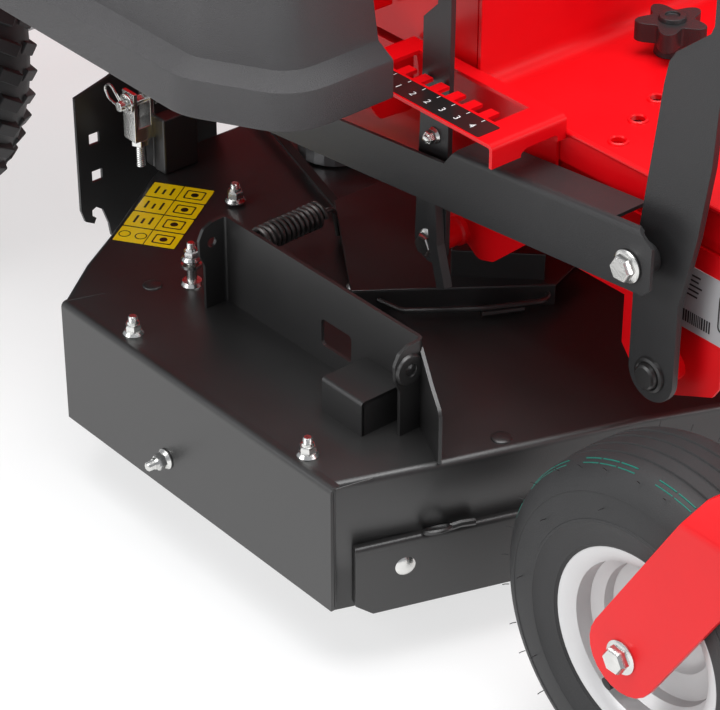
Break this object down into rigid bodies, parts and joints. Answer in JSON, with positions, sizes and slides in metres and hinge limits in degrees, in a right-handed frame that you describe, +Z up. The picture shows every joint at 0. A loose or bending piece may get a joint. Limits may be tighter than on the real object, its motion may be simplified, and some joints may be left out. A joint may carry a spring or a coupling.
{
  "type": "zero turn mower",
  "caption": "Ride-on lawn mower with lap-bar steering, swivelling front casters, drive wheels at the rear and a height-adjustable cutting deck between them",
  "frame": {"origin": "on the ground, below the middle of the machine's bounding box", "axes": "front -Y, operator's right -X, +Z up"},
  "size_m": [1.12, 1.719, 0.99],
  "materials": {
    "red_paint": "gloss powder coat",
    "black_paint": "satin powder coat",
    "grey_moulding": "fine moulded grain",
    "black_moulding": "moulded",
    "rubber": "matt",
    "tyre": "matt, moulded ribs",
    "silver_paint": "satin silver paint",
    "cast_aluminium": "as cast",
    "pulley_steel": "pressed steel",
    "zinc_steel": "bright zinc",
    "spring_steel": "dark oiled",
    "heat_steel": "heat-proof coat",
    "seat_vinyl": "grained vinyl"
  },
  "bodies": {
    "chassis": {"chassis_frame": "red_paint", "floor_pan": "red_paint", "height_gate": "red_paint", "lift_pivot_bracket": "red_paint", "rear_guard_plate": "black_paint", "engine_guard": "black_paint", "seat_base": "red_paint", "fender_right": "grey_moulding", "fender_left": "grey_moulding", "engine_block": "cast_aluminium", "blower_housing": "black_moulding", "air_cleaner_cover": "black_moulding", "muffler": "heat_steel", "transaxle_right": "cast_aluminium", "transaxle_left": "cast_aluminium"},
    "deck": {"deck_shell": "black_paint", "discharge_cover": "black_paint", "chute_bracket": "black_paint", "front_baffle": "black_paint", "belt_cover_right": "black_paint", "belt_cover_left": "black_paint", "deck_spring": "spring_steel", "rear_hanger": "zinc_steel", "deck_belt": "rubber"},
    "spindle_right": {"spindle_pulley_right": "pulley_steel", "blade_right": "pulley_steel"},
    "spindle_left": {"spindle_pulley_left": "pulley_steel", "blade_left": "pulley_steel"},
    "idler": {"idler_arm": "black_paint"},
    "idler_wheel": {"idler_pulley": "pulley_steel"},
    "crankshaft": {"engine_pulley": "pulley_steel"},
    "rear_wheel_right": {"rear_tyre_right": "tyre", "rear_rim_right": "silver_paint"},
    "rear_wheel_left": {"rear_tyre_left": "tyre", "rear_rim_left": "silver_paint"},
    "fork_right": {"caster_fork_right": "red_paint"},
    "fork_left": {"caster_fork_left": "red_paint"},
    "caster_right": {"caster_tyre_right": "tyre", "caster_rim_right": "silver_paint"},
    "caster_left": {"caster_tyre_left": "tyre", "caster_rim_left": "silver_paint"},
    "seat": {"seat_pan": "black_moulding", "seat_cushion": "seat_vinyl", "seat_back": "seat_vinyl"},
    "arm_right": {"control_arm_right": "black_paint"},
    "arm_left": {"control_arm_left": "black_paint"},
    "bar_right": {"lap_bar_right": "black_paint", "lap_grip_right": "rubber"},
    "bar_left": {"lap_bar_left": "black_paint", "lap_grip_left": "rubber"},
    "lift_pedal": {"lift_pedal_arm": "black_paint", "lift_pedal_pad": "rubber"},
    "lift_link": {"lift_channel": "black_paint"},
    "lift_crank": {"lift_shaft": "black_paint"},
    "lever": {"height_lever": "black_paint", "height_lever_grip": "black_moulding"},
    "knob": {"star_knob": "black_moulding"},
    "tank_cap": {"fuel_cap": "black_moulding"},
    "brake": {"parking_brake_lever": "black_paint"},
    "throttle": {"throttle_lever": "black_moulding"}
  },
  "joints": [
    {"name": "deck_lift", "type": "slide", "parent": "chassis", "child": "deck", "axis": [0, 0, 1], "range_m": [-0.0195, 0.029], "deforming": ["deck_belt"]},
    {"name": "lever_turn", "type": "hinge", "parent": "chassis", "child": "lever", "pos_m": [-0.3305, -0.315, 0.244], "axis": [1, 0, 0], "range_deg": [-8.72, 12.94]},
    {"name": "lift_pedal_turn", "type": "hinge", "parent": "chassis", "child": "lift_pedal", "pos_m": [-0.319, -0.548, 0.232], "axis": [1, 0, 0], "range_deg": [-8.6, 12.76]},
    {"name": "lift_link_slide", "type": "slide", "parent": "chassis", "child": "lift_link", "axis": [0, 1, 0], "range_m": [-0.02205, 0.01486]},
    {"name": "lift_crank_turn", "type": "hinge", "parent": "chassis", "child": "lift_crank", "pos_m": [0, -0.09, 0.34], "axis": [1, 0, 0], "range_deg": [-22.81, 15.36]},
    {"name": "rear_wheel_right_spin", "type": "hinge", "parent": "chassis", "child": "rear_wheel_right", "pos_m": [-0.452, 0.41, 0.2286], "axis": [1, 0, 0], "continuous": true},
    {"name": "caster_right_swivel", "type": "hinge", "parent": "chassis", "child": "fork_right", "pos_m": [-0.43, -0.795, 0.3255], "axis": [0, 0, 1], "continuous": true},
    {"name": "caster_right_spin", "type": "hinge", "parent": "fork_right", "child": "caster_right", "pos_m": [-0.43, -0.69, 0.1397], "axis": [1, 0, 0], "continuous": true},
    {"name": "rear_wheel_left_spin", "type": "hinge", "parent": "chassis", "child": "rear_wheel_left", "pos_m": [0.452, 0.41, 0.2286], "axis": [1, 0, 0], "continuous": true},
    {"name": "caster_left_swivel", "type": "hinge", "parent": "chassis", "child": "fork_left", "pos_m": [0.43, -0.795, 0.3255], "axis": [0, 0, 1], "continuous": true},
    {"name": "caster_left_spin", "type": "hinge", "parent": "fork_left", "child": "caster_left", "pos_m": [0.43, -0.69, 0.1397], "axis": [1, 0, 0], "continuous": true},
    {"name": "crank_spin", "type": "hinge", "parent": "chassis", "child": "crankshaft", "pos_m": [0, 0.58, 0.2], "axis": [0, 0, 1], "continuous": true},
    {"name": "spindle_right_spin", "type": "hinge", "parent": "deck", "child": "spindle_right", "pos_m": [-0.262, -0.26, 0.18], "axis": [0, 0, 1], "continuous": true},
    {"name": "spindle_left_spin", "type": "hinge", "parent": "deck", "child": "spindle_left", "pos_m": [0.262, -0.26, 0.18], "axis": [0, 0, 1], "continuous": true},
    {"name": "idler_arm_turn", "type": "hinge", "parent": "deck", "child": "idler", "pos_m": [-0.11, -0.125, 0.19], "axis": [0, 0, 1], "range_deg": [-10, 0], "stiffness_Nm_per_rad": 4},
    {"name": "idler_wheel_spin", "type": "hinge", "parent": "idler", "child": "idler_wheel", "pos_m": [-0.209, -0.05, 0.1805], "axis": [0, 0, 1], "continuous": true},
    {"name": "seat_tilt", "type": "hinge", "parent": "chassis", "child": "seat", "pos_m": [0, -0.228, 0.5365], "axis": [1, 0, 0], "range_deg": [0, 60]},
    {"name": "arm_right_drive", "type": "hinge", "parent": "chassis", "child": "arm_right", "pos_m": [-0.315, 0, 0.602], "axis": [1, 0, 0], "range_deg": [-14, 20], "stiffness_Nm_per_rad": 60},
    {"name": "bar_right_swing", "type": "hinge", "parent": "arm_right", "child": "bar_right", "pos_m": [-0.3325, 0, 0.655], "axis": [0, -1, 0], "range_deg": [0, 60]},
    {"name": "arm_left_drive", "type": "hinge", "parent": "chassis", "child": "arm_left", "pos_m": [0.315, 0, 0.602], "axis": [1, 0, 0], "range_deg": [-14, 20], "stiffness_Nm_per_rad": 60},
    {"name": "bar_left_swing", "type": "hinge", "parent": "arm_left", "child": "bar_left", "pos_m": [0.3325, 0, 0.655], "axis": [0, 1, 0], "range_deg": [0, 60]},
    {"name": "knob_turn", "type": "hinge", "parent": "chassis", "child": "knob", "pos_m": [-0.145, -0.383, 0.39], "axis": [0, 0, 1], "continuous": true},
    {"name": "tank_cap_turn", "type": "hinge", "parent": "chassis", "child": "tank_cap", "pos_m": [0.4, -0.09, 0.58], "axis": [0, 0, 1], "range_deg": [0, 120]},
    {"name": "brake_pull", "type": "hinge", "parent": "chassis", "child": "brake", "pos_m": [0.283, -0.13, 0.545], "axis": [1, 0, 0], "range_deg": [-25, 0]},
    {"name": "throttle_turn", "type": "hinge", "parent": "chassis", "child": "throttle", "pos_m": [-0.4, -0.05, 0.5745], "axis": [1, 0, 0], "range_deg": [-22, 22]}
  ],
  "couplings": [
    {"joint": "lever_turn", "follows": "deck_lift", "rad_per_m": 7.76},
    {"joint": "lift_pedal_turn", "follows": "deck_lift", "rad_per_m": 7.65},
    {"joint": "lift_link_slide", "follows": "deck_lift", "ratio": -0.757},
    {"joint": "lift_crank_turn", "follows": "deck_lift", "rad_per_m": -13.7},
    {"joint": "spindle_right_spin", "follows": "crank_spin", "ratio": 0.8824},
    {"joint": "spindle_left_spin", "follows": "crank_spin", "ratio": 0.8824}
  ]
}
